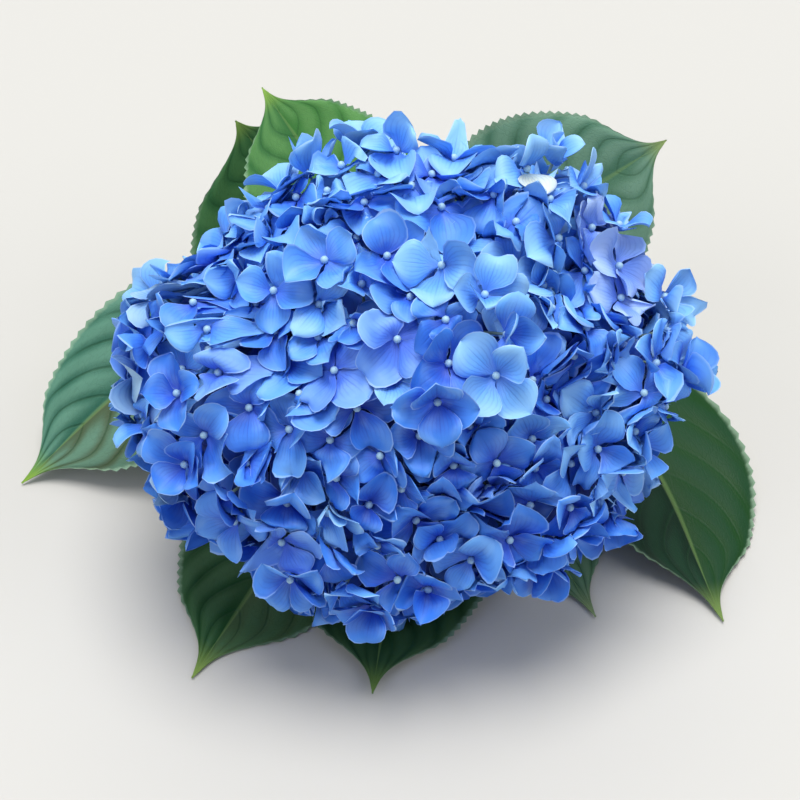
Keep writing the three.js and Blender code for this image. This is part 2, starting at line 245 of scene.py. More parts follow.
# Each leaf's crest, tip and facing as in the part, the relief between its veins, which also sets how dark
# the painted shade in its veins is, how broad its two sides are, and its tints on either side of the
# midrib, for its mottle and for the painted light on the bulges between the veins, and at the tip
LEAVES = [
    {"name": "left", "node": 0, "roll": 183, "width": 74, "relief": 0.9, "fold": 0.1, "lateral": 7,
     "sides": (1.1, 0.9), "crest": (-92, 52, 32), "tip": (-144, 22, 0.9), "facing": (-0.3, -0.5, 0.8),
     "tints": ("4a5a40", "2f6350"), "mottle_and_lit_bulge": "6c9c86", "tip_tint": "8fb83a"},
    {"name": "lower_right", "node": 0, "roll": 357, "width": 78, "relief": 0.4, "fold": 0.08, "lateral": 7,
     "sides": (1, 1), "crest": (80, 30, 15), "tip": (107, -42, 0.9), "facing": (0.25, -0.15, 0.95),
     "tints": ("184119", "0e281a"), "mottle_and_lit_bulge": "1d422c", "tip_tint": "7f9a52"},
    {"name": "upper_left", "node": 1, "roll": 100, "width": 62, "relief": 0.3, "fold": 0.14, "lateral": 6,
     "sides": (1.1, 1), "crest": (-26, 92, 76), "tip": (-55, 119, 108), "facing": (0.15, -0.8, 0.6),
     "tints": ("37703a", "45823f"), "mottle_and_lit_bulge": "6ba05c", "tip_tint": "9cc455"},
    {"name": "bottom_centre", "node": 1, "roll": 276, "width": 76, "relief": 0.6, "fold": 0.02,
     "lateral": 7, "sides": (1, 1), "crest": (-6, -8, 5.9), "tip": (-14, -74, 3.2), "facing": (0, 0, 1),
     "tints": ("1f4023", "1a3a20"), "mottle_and_lit_bulge": "3a5c3a", "tip_tint": "6f8f45"},
    {"name": "upper_right", "node": 2, "roll": 20, "width": 82, "relief": 0.35, "fold": 0.12, "lateral": 7,
     "sides": (1, 1), "crest": (50, 94, 66), "tip": (92, 105, 95), "facing": (-0.1, -0.75, 0.65),
     "tints": ("4c7860", "4a745a"), "mottle_and_lit_bulge": "7ba08a", "tip_tint": "93a860"},
    {"name": "bottom_left", "node": 2, "roll": 205, "width": 80, "relief": 0.75, "fold": 0.02, "lateral": 7,
     "sides": (1, 1), "crest": (-42, 4, 1.9), "tip": (-75, -66, 0.9), "facing": (0, 0, 1),
     "tints": ("46603c", "18481f"), "mottle_and_lit_bulge": "4a704a", "tip_tint": "86a24f"},
    {"name": "back_left", "node": 3, "roll": 120, "width": 78, "relief": 0.35, "fold": 0.12, "lateral": 7,
     "sides": (1.4, 1), "crest": (-42, 118, 56), "tip": (-66, 124, 89), "facing": (0.1, -0.8, 0.6),
     "tints": ("33653c", "2e5f3a"), "mottle_and_lit_bulge": "52824f", "tip_tint": "86a850"},
    {"name": "bottom_right", "node": 3, "roll": 310, "width": 62, "relief": 0.7, "fold": 0.02, "lateral": 6,
     "sides": (1, 1), "crest": (38, 18, 1.9), "tip": (63, -40, 0.9), "facing": (0, 0, 1),
     "tints": ("476c50", "3c6248"), "mottle_and_lit_bulge": "6d8f72", "tip_tint": "8ea271"},
]

# Sepal shades: colour of the sepal's middle, of its outer part and of the throat round the bead. The shadow
# shade is painted shade for the lower layer of florets
SHADES = {
    "shadow": {"middle": "1f50b4", "outer": "3470cc", "throat": "2442a4"},
    "deep": {"middle": "2868da", "outer": "428bf0", "throat": "2c4ccc"},
    "cornflower": {"middle": "367be8", "outer": "579cf8", "throat": "385cd6"},
    "azure": {"middle": "468ff2", "outer": "6cb0fb", "throat": "4670e0"},
    "sky": {"middle": "60a9fa", "outer": "90caff", "throat": "5888ea"},
    "periwinkle": {"middle": "4a80ec", "outer": "70a4f8", "throat": "4f72e4"},
    "lavender": {"middle": "7ba4f6", "outer": "a6c4fd", "throat": "688ef0"},
    "washed": {"middle": "6fa2de", "outer": "9cc4e8", "throat": "6490de"},
    "cream": {"middle": "c6d5cc", "outer": "dde6dc", "throat": "a8c6d0"},
}

# Where the bloom has a cream sepal and a patch of lavender florets, to the right and up its face
CREAM_PLACE = (32, 70)
LAVENDER_PLACE = (62, 38)
LAVENDER_REACH = 20
LAVENDER_CHANCE = 0.7

# Washed florets lie beyond this to the left and within this of the middle's height
WASHED_BEYOND = 68
WASHED_WITHIN = 40
WASHED_CHANCE = 0.25
PERIWINKLE_CHANCE = 0.04

# Other florets are dealt from a ladder of shades by painted light: lighter up the face, at the rim and to
# the right, with a random spread of tone
LADDER = ["deep", "cornflower", "azure", "sky"]
MIDDLE_LIGHTNESS = 0.5
LIGHTER_UP = 0.5
LIGHTER_RIGHT = 0.1
LIGHTER_AT_RIM = 0.4
RIM_FROM = 0.6
LIGHTNESS_SPREAD = 0.22

# Above this height up the bloom's face its lower layer of florets is painted lit, in azure, as light from
# above falls there, and below it they take the shadow shade as painted shade
LIT_FROM = 25

# The camera of the photograph: 800 pixels a side, with the heart of the bloom off its middle
PICTURE_SIDE = 800
CAMERA_ELEVATION = 46
CAMERA_DISTANCE = 664
CAMERA_LENS = 90
CAMERA_SENSOR = 36
HEART_PIXEL = (414.5, 374.5)

# The studio. A light's angles are degrees round from the front to the right, degrees up, and its
# width in degrees. Then come its strength and its tint
LIGHTS = [
    ("overhead", 175, 85, 36, 2.9, (1.0, 0.99, 0.97)),
    ("from_behind", 180, 52, 40, 0.5, (0.97, 0.98, 1.0)),
    ("from_the_left", -60, 38, 40, 0.55, (0.93, 0.96, 1.0)),
    ("from_the_right", 70, 40, 40, 0.58, (0.96, 0.98, 1.0)),
]
WORLD_COLOUR = (0.88, 0.93, 1.0, 1)
WORLD_STRENGTH = 0.3
FLOOR_SIDE = 80
FLOOR_COLOUR = "c7c5c0"


def unit(vectors):
    return vectors / np.linalg.norm(vectors, axis=-1, keepdims=True)


def mixed(start, end, share):
    return start + (end - start) * share


def eased(value, low, high):
    share = np.clip((value - low) / (high - low), 0, 1)
    return share * share * (3 - 2 * share)


# The stem's line, whose slope eases from the bloom's tilt to that of the cut end

TILT = math.radians(BLOOM_TILT)
HUB_HEIGHT = HEART_HEIGHT - HUB_DEPTH * math.sin(TILT)
SLOPE_CHANGE = math.radians(BLOOM_TILT - STEM_END_TILT)
SLOPE_DROP = math.cos(math.radians(STEM_END_TILT)) - math.cos(TILT)
STEM_FALL = HUB_HEIGHT - STEM_CUT_RADIUS * math.cos(math.radians(STEM_END_TILT))
STEM_LENGTH = STEM_FALL * SLOPE_CHANGE / SLOPE_DROP


def stem_direction(distance):
    share = min(max(distance / STEM_LENGTH, 0), 1)
    slope = math.radians(mixed(BLOOM_TILT, STEM_END_TILT, share))
    return np.array([0, math.cos(slope), -math.sin(slope)])


def stem_line():
    """Points half a millimetre apart from the hub to the cut."""
    place = np.array([0, HUB_DEPTH * math.cos(TILT), HUB_HEIGHT])
    points = [place]
    for stride in range(round(STEM_LENGTH / STEM_STEP) + 1):
        place = place + stem_direction((stride + 0.5) * STEM_STEP) * STEM_STEP
        points.append(place)
    return np.array(points)


STEM_POINTS = stem_line()
CUT = next(mount for mount in frame["record"]["mounts"] if mount["name"] == "cut_end")
SHIFT = np.array(CUT["pos_m"]) / MM - STEM_POINTS[round(STEM_LENGTH / STEM_STEP)]
SHIFT[2] = 0
HEART = np.array([0, 0, HEART_HEIGHT]) + SHIFT


def stem_point(distance):
    along = np.asarray(distance) / STEM_STEP
    steps = np.arange(len(STEM_POINTS))
    return np.stack([np.interp(along, steps, STEM_POINTS[:, axis]) for axis in range(3)], -1) + SHIFT


def stem_radius(distance):
    plain = mixed(STEM_TOP_RADIUS, STEM_CUT_RADIUS, distance / STEM_LENGTH)
    swellings = sum(np.exp(-((distance - node) / NODE_LENGTH) ** 2) for node in NODE_DISTANCES)
    return plain + NODE_SWELLING * swellings


# The bloom's own frame has its heart at 0, X to the right, Y up its face and Z along its axis

BLOOM_AXES = np.array([
    [1, 0, 0],
    [0, math.sin(TILT), math.cos(TILT)],
    [0, -math.cos(TILT), math.sin(TILT)],
])
HUB = np.array([0, 0, -HUB_DEPTH])


def from_bloom(points):
    return points @ BLOOM_AXES + HEART


def polar_direction(polar, azimuth):
    polar, azimuth = math.radians(polar), math.radians(azimuth)
    return np.array([
        math.sin(polar) * math.cos(azimuth),
        math.sin(polar) * math.sin(azimuth),
        math.cos(polar),
    ])


LOBE_DIRECTIONS = np.array([polar_direction(lobe["polar"], lobe["azimuth"]) for lobe in LOBES])
LOBE_REACHES = np.array([lobe["reach"] for lobe in LOBES])
DENT_DIRECTION = polar_direction(DENT["polar"], DENT["azimuth"])


def lobing(point):
    """How far the bloom stands out at a point, with valleys between the lobes."""
    closeness = LOBE_DIRECTIONS @ unit(point - HUB)
    weights = np.exp(LOBE_SHARPNESS * closeness)
    reach = (weights * LOBE_REACHES).sum() / weights.sum()
    second, nearest = np.sort(closeness)[-2:]
    valley = max(0, 1 - (nearest - second) / VALLEY_WIDTH)
    off_dent = np.linalg.norm(unit(point) - DENT_DIRECTION)
    dent = DENT["depth"] * math.exp(-(off_dent / DENT["width"]) ** 2)
    return reach * (1 - VALLEY_DEPTH * valley * valley) * (1 - dent)


def bloom_size(height):
    depth = np.where(np.asarray(height) > 0, BLOOM_FRONT, BLOOM_BACK)
    wide = np.full_like(depth, BLOOM_HALF_WIDTH)
    high = np.full_like(depth, BLOOM_HALF_HEIGHT)
    return np.stack([wide, high, depth], -1).astype(float)


def onto_surface(point):
    on_globe = point / np.linalg.norm(point / bloom_size(point[2]))
    return on_globe * lobing(on_globe)


def even_polar_angles(count):
    """Polar angles in radians that share the globe's surface evenly among the florets."""
    angles = np.arange(0, math.radians(BLOOM_EDGE_ANGLE), math.radians(POLAR_STEP))
    width = (BLOOM_HALF_WIDTH + BLOOM_HALF_HEIGHT) / 2
    depth = bloom_size(np.cos(angles))[:, 2]
    bands = np.sin(angles) * np.hypot(width * np.cos(angles), depth * np.sin(angles))
    covered = np.cumsum(bands)
    shares = (np.arange(count) + 0.5) / count
    return angles[np.searchsorted(covered, covered[-1] * shares)]


# Florets

def floret_seats(count, depths, seed):
    """Each floret's centre, the way it faces, its turn about that, its size and its depth."""
    dealt = np.random.default_rng(seed)
    golden_angle = math.pi * (3 - math.sqrt(5))
    seats = []
    for i, polar in enumerate(even_polar_angles(count)):
        direction = polar_direction(math.degrees(polar), math.degrees(i * golden_angle))
        size = bloom_size(direction[2])
        on_surface = onto_surface(direction * size)
        facing = unit(on_surface / size / size)
        depth = depths[i % len(depths)]
        turning = TURN_TO_LIGHT[0] + TURN_TO_LIGHT[1] * max(0, on_surface[1] / BLOOM_HALF_HEIGHT)
        turned = unit(facing + np.array([0, 0, turning]))
        centre = on_surface - facing * (depth + TURN_DEPTH * np.linalg.norm(turned - facing))
        seats.append({
            "centre": centre,
            "facing": unit(turned + (dealt.random(3) - 0.5) * 2 * FLORET_LEAN),
            "turn": dealt.random() * math.pi / 2,
            "size": dealt.uniform(*FLORET_SIZES),
            "depth": depth,
            "outer": lobing(on_surface) + SEPAL_MARGIN / PRESSED_SCALE,
        })
    return seats


def crowded(count):
    """Shares from 0 to 1 that crowd towards 1."""
    return np.sin(np.linspace(0, math.pi / 2, count + 1))


SEPAL_ALONG = crowded(SEPAL_ROWS)
SEPAL_HALF_ROW = crowded(SEPAL_COLUMNS // 2)
SEPAL_ACROSS = np.concatenate([-SEPAL_HALF_ROW[:0:-1], SEPAL_HALF_ROW])

# Odd directions that no floret and no stalk lies along
FLORET_REFERENCE = [0.31, 0.17, 0.93]
STALK_REFERENCE = [0.21, 0.93, 0.29]


def square_ways(axis, reference):
    """Two directions square to an axis and to each other."""
    first = unit(np.cross(axis, reference))
    return first, np.cross(axis, first)


def is_under(seat):
    return seat["depth"] >= UNDER_DEPTHS[0]


def sepal_traits(seat, pair, dealt):
    """What chance gives one sepal, with its angles in radians."""
    def between(name):
        return dealt.uniform(*VARIETY[name])

    length = SEPAL_LENGTH * seat["size"] * between("length") * PAIR_LENGTHS[pair]
    half_width = length * SEPAL_BREADTH * between("breadth") / 2
    stands = dealt.random() < STANDING_CHANCE and not is_under(seat)
    standing = math.radians(between("standing")) if stands else 0
    inner_tilt = INNER_TILT if pair == "inner" else 0
    return {
        "length": length,
        "half_width": half_width,
        "standing": standing,
        "leaning": math.radians(dealt.normal(0, TILT_SPREAD) + inner_tilt),
        "curl": math.radians(between("curl")),
        "flick": math.radians(between("flick")),
        "cup": between("cup"),
        "fold": between("fold"),
        "rim_curls": (between("rim_curl"), between("rim_curl")),
        "wave": between("wave"),
        "wave_start": dealt.uniform(0, 2 * math.pi),
        "twist": math.radians(dealt.normal(0, TWIST_SPREAD)),
        "roundness": between("roundness"),
        "claw": between("claw"),
        "point": between("point"),
        "astray": math.radians(dealt.normal(0, PLACE_SPREAD)),
    }


def sepal_surface(traits, openness):
    """How far outward, sideways and upward a sepal's points lie from its floret's centre."""
    across, along = np.meshgrid(SEPAL_ACROSS, SEPAL_ALONG)
    side = np.abs(across)
    flicked = ((along - FLICK_FROM).clip(0) / (1 - FLICK_FROM)) ** 2
    slope = openness + traits["leaning"] + traits["standing"] + traits["curl"] * along
    slope += traits["flick"] * flicked
    steps = np.diff(along, axis=0)
    middle_slope = (slope[1:] + slope[:-1]) / 2
    start = np.zeros((1, SEPAL_COLUMNS + 1))
    out = np.concatenate([start, np.cumsum(np.cos(middle_slope) * steps, axis=0)])
    rise = np.concatenate([start, np.cumsum(np.sin(middle_slope) * steps, axis=0)])
    out[-1] += traits["point"] * np.cos(slope[-1])
    rise[-1] += traits["point"] * np.sin(slope[-1])

    clawed = 1 - traits["claw"] * (1 - eased(along, 0, CLAW_REACH))
    width = np.sin(np.pi * along ** WIDTH_POWER).clip(0) ** traits["roundness"] * clawed
    width = traits["half_width"] * np.maximum(width, ROOT_WIDTH * (1 - along))
    rim_curls = np.where(across > 0, *traits["rim_curls"])
    curled = rim_curls * (side - RIM_CURL_FROM).clip(0) ** 2 * RIM_CURL_GAIN
    lift = width * (traits["fold"] * side + traits["cup"] * side ** 2 + curled)
    waving = 2 * math.pi * WAVES * along * np.sign(across) + traits["wave_start"]
    lift += traits["wave"] * along * side ** 2 * np.sin(waving)
    lift += OVERLAP_LIFT * across * np.sin(math.pi * along)
    turned = traits["twist"] * along
    sideways = across * width * np.cos(turned)
    lift += across * width * np.sin(turned)
    outward = ROOT_RADIUS + out * traits["length"] - lift * np.sin(slope)
    upward = rise * traits["length"] + lift * np.cos(slope) - ROOT_SINK
    return outward, sideways, upward


def sepal_shapes(seat, dealt):
    """The surfaces of a floret's four sepals round its centre, as rows and columns of points."""
    level, level_too = square_ways(seat["facing"], FLORET_REFERENCE)
    openness = dealt.uniform(*VARIETY["under_openness" if is_under(seat) else "openness"])
    shapes = []
    for quarter, pair in enumerate(["outer", "inner", "outer", "inner"]):
        traits = sepal_traits(seat, pair, dealt)
        outward, sideways, upward = sepal_surface(traits, math.radians(openness))
        azimuth = seat["turn"] + quarter * math.pi / 2 + traits["astray"]
        out_way = math.cos(azimuth) * level + math.sin(azimuth) * level_too
        side_way = math.cos(azimuth) * level_too - math.sin(azimuth) * level
        shapes.append(outward[..., None] * out_way + sideways[..., None] * side_way
                      + upward[..., None] * seat["facing"])
    return shapes


def on_pressed_globe(points):
    """Directions from the heart, and heights on a globe that is pressed round."""
    pressed = points / bloom_size(points[..., 2])
    height = np.linalg.norm(pressed, axis=-1)
    return pressed / height[..., None], height


def cover_samples(surface):
    """A sepal's points and the points half-way across between them, as directions and heights."""
    halves = (surface[:, 1:] + surface[:, :-1]) / 2
    points = np.concatenate([surface.reshape(-1, 3), halves.reshape(-1, 3)])
    directions, heights = on_pressed_globe(points)
    return np.column_stack([directions, heights]).astype(np.float32)


def ceiling(directions, cover):
    """The height that each direction has to stay under, beneath what is laid already."""
    closeness = directions.reshape(-1, 3).astype(np.float32) @ cover[:, :3].T
    distance = np.sqrt(np.maximum(2 - 2 * closeness, 0)) * PRESSED_SCALE
    over = COVER_SLOPE * np.maximum(distance - COVER_SPREAD, 0) - COVER_GAP
    return (cover[:, 3] + over / PRESSED_SCALE).min(axis=1).reshape(directions.shape[:-1])


def tuck_under(surface, outer, cover):
    """Bends a sepal down where others cover it or the bloom ends, and the points beside after it."""
    directions, height = on_pressed_globe(surface)
    limit = np.minimum(ceiling(directions, cover), outer) if len(cover) else outer
    pushed = np.maximum(height - limit, 0)
    eased_push = pushed.copy()
    following = pushed * FOLLOWING_SHARE
    eased_push[1:] = np.maximum(eased_push[1:], following[:-1])
    eased_push[:-1] = np.maximum(eased_push[:-1], following[1:])
    eased_push[:, 1:] = np.maximum(eased_push[:, 1:], following[:, :-1])
    eased_push[:, :-1] = np.maximum(eased_push[:, :-1], following[:, 1:])
    eased_push[0] = 0
    return surface * ((height - eased_push) / height)[..., None]


NO_COVER = np.zeros((0, 4), np.float32)


def lay_sepals(seats):
    """Gives each floret its sepals, from the outermost in, each tucked under those before it."""
    dealt = np.random.default_rng(SEPAL_SEED)
    up_in_bloom = BLOOM_AXES @ [0, 0, 1]
    laid = []
    for seat in sorted(seats, key=lambda seat: seat["depth"]):
        shapes = sepal_shapes(seat, dealt)
        lowest = min(from_bloom(seat["centre"] + shape)[..., 2].min() for shape in shapes)
        seat["centre"] = seat["centre"] + up_in_bloom * max(0, FLORET_FLOOR - lowest)
        near = [other["cover"] for other in laid
                if np.linalg.norm(other["centre"] - seat["centre"]) < COVER_RANGE]
        cover = np.concatenate([NO_COVER, *near])
        if near:
            direction, height = on_pressed_globe(seat["centre"][None])
            room = ceiling(direction, cover) - 2 * BEAD_RADIUS / PRESSED_SCALE
            seat["centre"] = seat["centre"] * min(1, (room / height)[0])
        inner_pair = [tuck_under(seat["centre"] + shapes[i], seat["outer"], cover) for i in (1, 3)]
        cover = np.concatenate([cover, *[cover_samples(surface) for surface in inner_pair]])
        outer_pair = [tuck_under(seat["centre"] + shapes[i], seat["outer"], cover) for i in (0, 2)]
        seat["sepals"] = inner_pair + outer_pair
        seat["cover"] = np.concatenate([cover_samples(surface) for surface in seat["sepals"]])
        laid.append(seat)


# Making meshes

NEAR = 1e-5


def clear_selection():
    bpy.ops.object.select_all(action="DESELECT")


def active_object():
    return bpy.context.view_layer.objects.active


def in_edit_mode(work):
    bpy.ops.object.mode_set(mode="EDIT")
    bpy.ops.mesh.select_all(action="SELECT")
    work()
    bpy.ops.object.mode_set(mode="OBJECT")


def take_blank():
    """Reads the active object's mesh into arrays and removes it."""
    blank = active_object()
    points = np.array([vertex.co for vertex in blank.data.vertices])
    faces = [list(face.vertices) for face in blank.data.polygons]
    bpy.data.objects.remove(blank)
    return points, faces


def grid_places(points, columns, rows):
    """The row and the column of each point of a grid that runs from -1 to 1 both ways."""
    column = np.rint((points[:, 0] + 1) / 2 * columns).astype(int)
    row = np.rint((points[:, 1] + 1) / 2 * rows).astype(int)
    return row, column


def sheet_blank(columns, rows):
    """The row and column of each point of a flat sheet, and its faces."""
    clear_selection()
    bpy.ops.mesh.primitive_grid_add(x_subdivisions=columns, y_subdivisions=rows, size=2)
    points, faces = take_blank()
    row, column = grid_places(points, columns, rows)
    return row, column, faces


def lens_blank(columns, rows):
    """A closed flat blank: two grids that share their rim. X runs across and Y along, from -1 to 1."""
    clear_selection()
    bpy.ops.mesh.primitive_grid_add(x_subdivisions=columns, y_subdivisions=rows, size=2)
    blank = active_object()
    for vertex in blank.data.vertices:
        if max(abs(vertex.co.x), abs(vertex.co.y)) < 1 - NEAR:
            vertex.co.z = 1

    def close_below():
        bpy.ops.mesh.duplicate()
        bpy.ops.transform.resize(value=(1, 1, -1))
        bpy.ops.mesh.flip_normals()
        bpy.ops.mesh.select_all(action="SELECT")
        bpy.ops.mesh.remove_doubles(threshold=NEAR)

    in_edit_mode(close_below)
    return take_blank()


def tube_blank(sides, steps, end_insets=()):
    """A closed tube of radius 1, drawn up along Z from a circle in steps of 1, its far end inset."""
    clear_selection()
    bpy.ops.mesh.primitive_circle_add(vertices=sides, radius=1, fill_type="NGON")

    def draw_up():
        for _ in range(steps):
            bpy.ops.mesh.extrude_region_move(TRANSFORM_OT_translate={"value": (0, 0, 1)})
        for thickness in end_insets:
            bpy.ops.mesh.inset(thickness=thickness, depth=0)
        bpy.ops.mesh.select_all(action="SELECT")
        bpy.ops.mesh.normals_make_consistent(inside=False)

    in_edit_mode(draw_up)
    return take_blank()


def ball_blank(segments, rings):
    clear_selection()
    bpy.ops.mesh.primitive_uv_sphere_add(segments=segments, ring_count=rings, radius=1)
    return take_blank()


def copies_of(blank_faces, blank_size, count):
    """The faces of many copies of a blank whose points follow each other in one list."""
    return [[index + blank_size * copy for index in face] for copy in range(count) for face in blank_faces]


def make_piece(name, points, faces, materials, nodes, uvs=None, smooth_angle=None):
    """Makes a mesh of points in millimetres, rides it on the part and says which nodes it replaces."""
    mesh = bpy.data.meshes.new(name)
    mesh.from_pydata((np.asarray(points) * MM).tolist(), [], faces)
    if uvs is not None:
        layer = mesh.uv_layers.new(name=OWN_MAP)
        layer.uv.foreach_set("vector", np.asarray(uvs, np.float32).ravel())
    for material in materials:
        mesh.materials.append(material)
    piece = bpy.data.objects.new(name, mesh)
    bpy.context.scene.collection.objects.link(piece)
    clear_selection()
    piece.select_set(True)
    bpy.context.view_layer.objects.active = piece
    if smooth_angle is None:
        bpy.ops.object.shade_smooth()
    else:
        bpy.ops.object.shade_smooth_by_angle(angle=math.radians(smooth_angle))
    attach(piece, "root")
    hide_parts(*nodes)
    return piece


# Materials

def colour(code):
    """A colour from its six hex digits, as the shader's linear numbers."""
    values = [int(code[i:i + 2], 16) / 255 for i in (0, 2, 4)]
    return (*[v / 12.92 if v <= 0.04045 else ((v + 0.055) / 1.055) ** 2.4 for v in values], 1)


class Reading:
    """A number that a node gives. Sums and products of readings add Math nodes."""

    def __init__(self, recipe, socket):
        self.recipe, self.socket = recipe, socket

    def _math(self, operation, *others):
        return Reading(self.recipe, self.recipe.node(
            "ShaderNodeMath", {"operation": operation}, *others).outputs[0])

    def __add__(self, other):
        return self._math("ADD", self, other)

    __radd__ = __add__

    def __sub__(self, other):
        return self._math("SUBTRACT", self, other)

    def __rsub__(self, other):
        return self._math("SUBTRACT", other, self)

    def __mul__(self, other):
        return self._math("MULTIPLY", self, other)

    __rmul__ = __mul__

    def __truediv__(self, other):
        return self._math("DIVIDE", self, other)

    def __pow__(self, other):
        return self._math("POWER", self, other)

    def __abs__(self):
        return self._math("ABSOLUTE", self)

    def over(self, other):
        return self._math("GREATER_THAN", self, other)

    def sine(self):
        return self._math("SINE", self)

    def fraction(self):
        return self._math("FRACT", self)

    def eased(self, low, high):
        node = self.recipe.node(
            "ShaderNodeMapRange", {"interpolation_type": "SMOOTHSTEP"}, self, low, high)
        return Reading(self.recipe, node.outputs[0])


class Recipe:
    """A material's nodes. Principled inputs are set by name, and patterns are read from here."""

    def __init__(self, name, roughness, **constants):
        self.material = bpy.data.materials.new(name)
        self.material.use_nodes = True
        self.tree = self.material.node_tree
        self.shader = self.tree.nodes["Principled BSDF"]
        self.shader.inputs["Roughness"].default_value = roughness
        for socket, value in constants.items():
            self.shader.inputs[socket.replace("_", " ")].default_value = value

    def node(self, kind, settings, *inputs, **named):
        """Adds a node, sets it up and gives its inputs values or links, in order or by name."""
        made = self.tree.nodes.new(kind)
        for setting, value in settings.items():
            setattr(made, setting, value)
        for key, value in [*enumerate(inputs), *named.items()]:
            self.fill(made.inputs[key], value)
        return made

    def fill(self, socket, value):
        if isinstance(value, Reading):
            value = value.socket
        if isinstance(value, bpy.types.NodeSocket):
            self.tree.links.new(value, socket)
        else:
            socket.default_value = value

    def own_map(self):
        """Across and along the piece's own map."""
        coordinates = self.node("ShaderNodeTexCoord", {})
        parts = self.node("ShaderNodeSeparateXYZ", {}, coordinates.outputs["UV"])
        return Reading(self, parts.outputs["X"]), Reading(self, parts.outputs["Y"])

    def place(self):
        return self.node("ShaderNodeTexCoord", {}).outputs["Object"]

    def combined(self, x, y, z=0.0):
        return self.node("ShaderNodeCombineXYZ", {}, x, y, z).outputs[0]

    def noise(self, vector, scale, detail=2.0):
        found = self.node("ShaderNodeTexNoise", {}, Vector=vector, Scale=scale, Detail=detail)
        return Reading(self, found.outputs["Fac"])

    def mix(self, share, first, second):
        """A colour between two others."""
        node = self.node("ShaderNodeMix", {"data_type": "RGBA"})
        self.fill(node.inputs["Factor"], share)
        colours = [socket for socket in node.inputs if socket.type == "RGBA"]
        self.fill(colours[0], first)
        self.fill(colours[1], second)
        return next(socket for socket in node.outputs if socket.type == "RGBA")

    def paint(self, shade):
        self.fill(self.shader.inputs["Base Color"], shade)

    def bump(self, height, strength, distance):
        node = self.node("ShaderNodeBump", {}, Strength=strength, Distance=distance, Height=height)
        self.fill(self.shader.inputs["Normal"], node.outputs["Normal"])

    def vary_roughness(self, value):
        self.fill(self.shader.inputs["Roughness"], value)


# A sepal fills one quarter of its shade's map, so that each shade has four patterns
SEPAL_MAP_MARGIN = 0.02
SEPAL_VEINS = 34
SEPAL_MARKS = {
    "patches": ("9ccaf6", 0.24),
    "veins": ("2a42b8", 0.24),
    "midrib": ("3346b8", 0.16),
    # The pale rim is partly the paler underside curling over and partly a painted highlight where the rim
    # catches light
    "rim": ("b4d5fd", 0.5),
}


def marked(recipe, tone, where, mark):
    """A tone with a mark's colour over it, at the mark's strength."""
    code, strength = mark
    return recipe.mix(where * strength, tone, colour(code))


def sepal_material(name, shade):
    """A sepal with a dark throat, fine veins, pale patches and a pale rim that is partly a painted
    highlight.
    """
    recipe = Recipe("sepal_" + name, 0.55)
    u, v = recipe.own_map()
    span = 1 - 2 * SEPAL_MAP_MARGIN
    across = ((u * 2).fraction() - 0.5) * (2 / span)
    along = ((v * 2).fraction() - SEPAL_MAP_MARGIN) / span
    side = abs(across)
    mottle = recipe.noise(recipe.combined(u, v), 9.0)
    patches = recipe.noise(recipe.combined(u, v, ord(name[0])), 4.2, 1.0).eased(0.42, 0.72)
    throat = 1 - along.eased(0.04, 0.5)
    outer = (along + 0.25 * mottle + 0.12 * side).eased(0.42, 1.12)
    vein_wave = (across * SEPAL_VEINS + 2.5 * mottle).sine() * 0.5 + 0.5
    fine_veins = vein_wave ** 4.0 * (1 - along.eased(0.35, 0.92)) * along.eased(0.0, 0.12)
    midrib = (1 - side.eased(0.0, 0.045)) * (1 - along.eased(0.5, 0.95))
    # Where the rim's painted highlight and the paler curled-over underside go
    rim = (side + 0.35 * along ** 14.0).eased(0.94, 1.0)
    tone = recipe.mix(outer, colour(shade["middle"]), colour(shade["outer"]))
    tone = marked(recipe, tone, patches, SEPAL_MARKS["patches"])
    tone = marked(recipe, tone, throat, (shade["throat"], 0.75))
    tone = marked(recipe, tone, fine_veins, SEPAL_MARKS["veins"])
    tone = marked(recipe, tone, midrib, SEPAL_MARKS["midrib"])
    tone = marked(recipe, tone, rim, SEPAL_MARKS["rim"])
    recipe.paint(tone)
    recipe.bump(fine_veins * 0.4 + midrib, 0.2, 0.0004)
    return recipe.material


def plain_material(name, shade, roughness):
    recipe = Recipe(name, roughness)
    recipe.paint(colour(shade))
    return recipe.material


def stem_material():
    """A green stem with darker ribs, pale streaks along it and brown specks."""
    recipe = Recipe("green_stem", 0.5)
    around, along = recipe.own_map()
    ribs = (around * 2 * math.pi * FINE_RIBS).sine() * 0.5 + 0.5
    streaks = recipe.noise(recipe.combined(around * 60, along * 9), 1.0, 4.0)
    specks = recipe.noise(recipe.combined(around * 34, along * 46), 1.0, 1.0).eased(0.66, 0.74)
    tone = recipe.mix(streaks.eased(0.3, 0.7), colour("6a8040"), colour("91a062"))
    tone = recipe.mix(ribs * 0.3, tone, colour("4f6330"))
    tone = recipe.mix(specks * 0.75, tone, colour("7a4a38"))
    recipe.paint(tone)
    recipe.bump(ribs * 0.5 + streaks * 0.4 + specks, 0.4, 0.0004)
    return recipe.material


def cut_material(name, first, second):
    """The grain of a fresh cut, between two colours."""
    recipe = Recipe(name, 0.7)
    grain = recipe.noise(recipe.place(), 1800.0, 3.0)
    recipe.paint(recipe.mix(grain.eased(0.35, 0.65), colour(first), colour(second)))
    recipe.bump(grain, 0.5, 0.0003)
    return recipe.material


# A blade's upper face lies on the left half of its map and its underside on the right half, each
# with a margin beside it
LEAF_MAP_MIDDLE = 0.25
LEAF_MAP_UNDER = 0.5
LEAF_MAP_HALF = 0.235
LEAF_MARKS = {
    "net": ("16361f", 0.1),
    "midrib": ("7f9f5d", 0.36),
    "rim": ("9dbb9e", 0.55),
    "underside": ("8aa37c", 0.55),
}
# Painted shade that darkens the veins' grooves
VEIN_GROOVE_SHADE = "1d4427"

